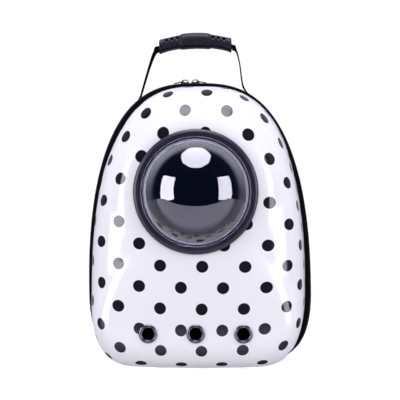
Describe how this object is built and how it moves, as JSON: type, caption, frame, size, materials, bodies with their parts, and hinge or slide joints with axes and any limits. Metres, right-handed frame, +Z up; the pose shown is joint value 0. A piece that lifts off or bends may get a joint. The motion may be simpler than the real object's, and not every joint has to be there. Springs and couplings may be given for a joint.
{
  "type": "pet carrier backpack",
  "caption": "Backpack for carrying a small pet: a moulded front shell with a clear domed window and eyelet vents, zipped to a soft back with a carrying handle and padded straps.",
  "frame": {"origin": "middle of the flat base that the bag stands on", "axes": "+Z up to the handle, -Y to the front with the window, +X to the right of someone facing the front"},
  "size_m": [0.3256, 0.3439, 0.4843],
  "materials": {
    "coated_cloth": "glossy coated cloth, white with black dots",
    "black_tape": "woven",
    "black_cloth": "woven",
    "black_plastic": "satin",
    "clear_plastic": "clear",
    "nickel": "dark nickel",
    "black_metal": "gloss",
    "grip_rubber": "satin"
  },
  "bodies": {
    "carrier": {"shell": "coated_cloth", "window_dome": "clear_plastic", "window_ring": "black_plastic", "vent_eyelet_left": "nickel", "vent_eyelet_centre": "nickel", "vent_eyelet_right": "nickel", "zip_tape_front": "black_tape", "zip_chain": "black_plastic", "base_hinge": "black_tape", "zip_tape_rear": "black_tape", "rear_gusset": "black_cloth", "back_panel": "black_cloth", "zip_slider_left": "black_metal", "zip_slider_right": "black_metal", "handle_strap": "black_tape", "handle_grip": "grip_rubber", "shoulder_strap_left": "black_cloth", "shoulder_strap_right": "black_cloth", "strap_buckle_left": "black_plastic", "strap_buckle_right": "black_plastic", "strap_webbing_left": "black_tape", "strap_webbing_right": "black_tape"},
    "pull_left": {"zip_pull_left": "black_metal"},
    "pull_right": {"zip_pull_right": "black_metal"}
  },
  "joints": [
    {"name": "pull_left_swing", "type": "hinge", "parent": "carrier", "child": "pull_left", "pos_m": [-0.02332, 0.0278, 0.40975], "axis": [0, 1, 0], "range_deg": [0, 110]},
    {"name": "pull_right_swing", "type": "hinge", "parent": "carrier", "child": "pull_right", "pos_m": [-0.00383, 0.0278, 0.4101], "axis": [0, -1, 0], "range_deg": [0, 110]}
  ]
}
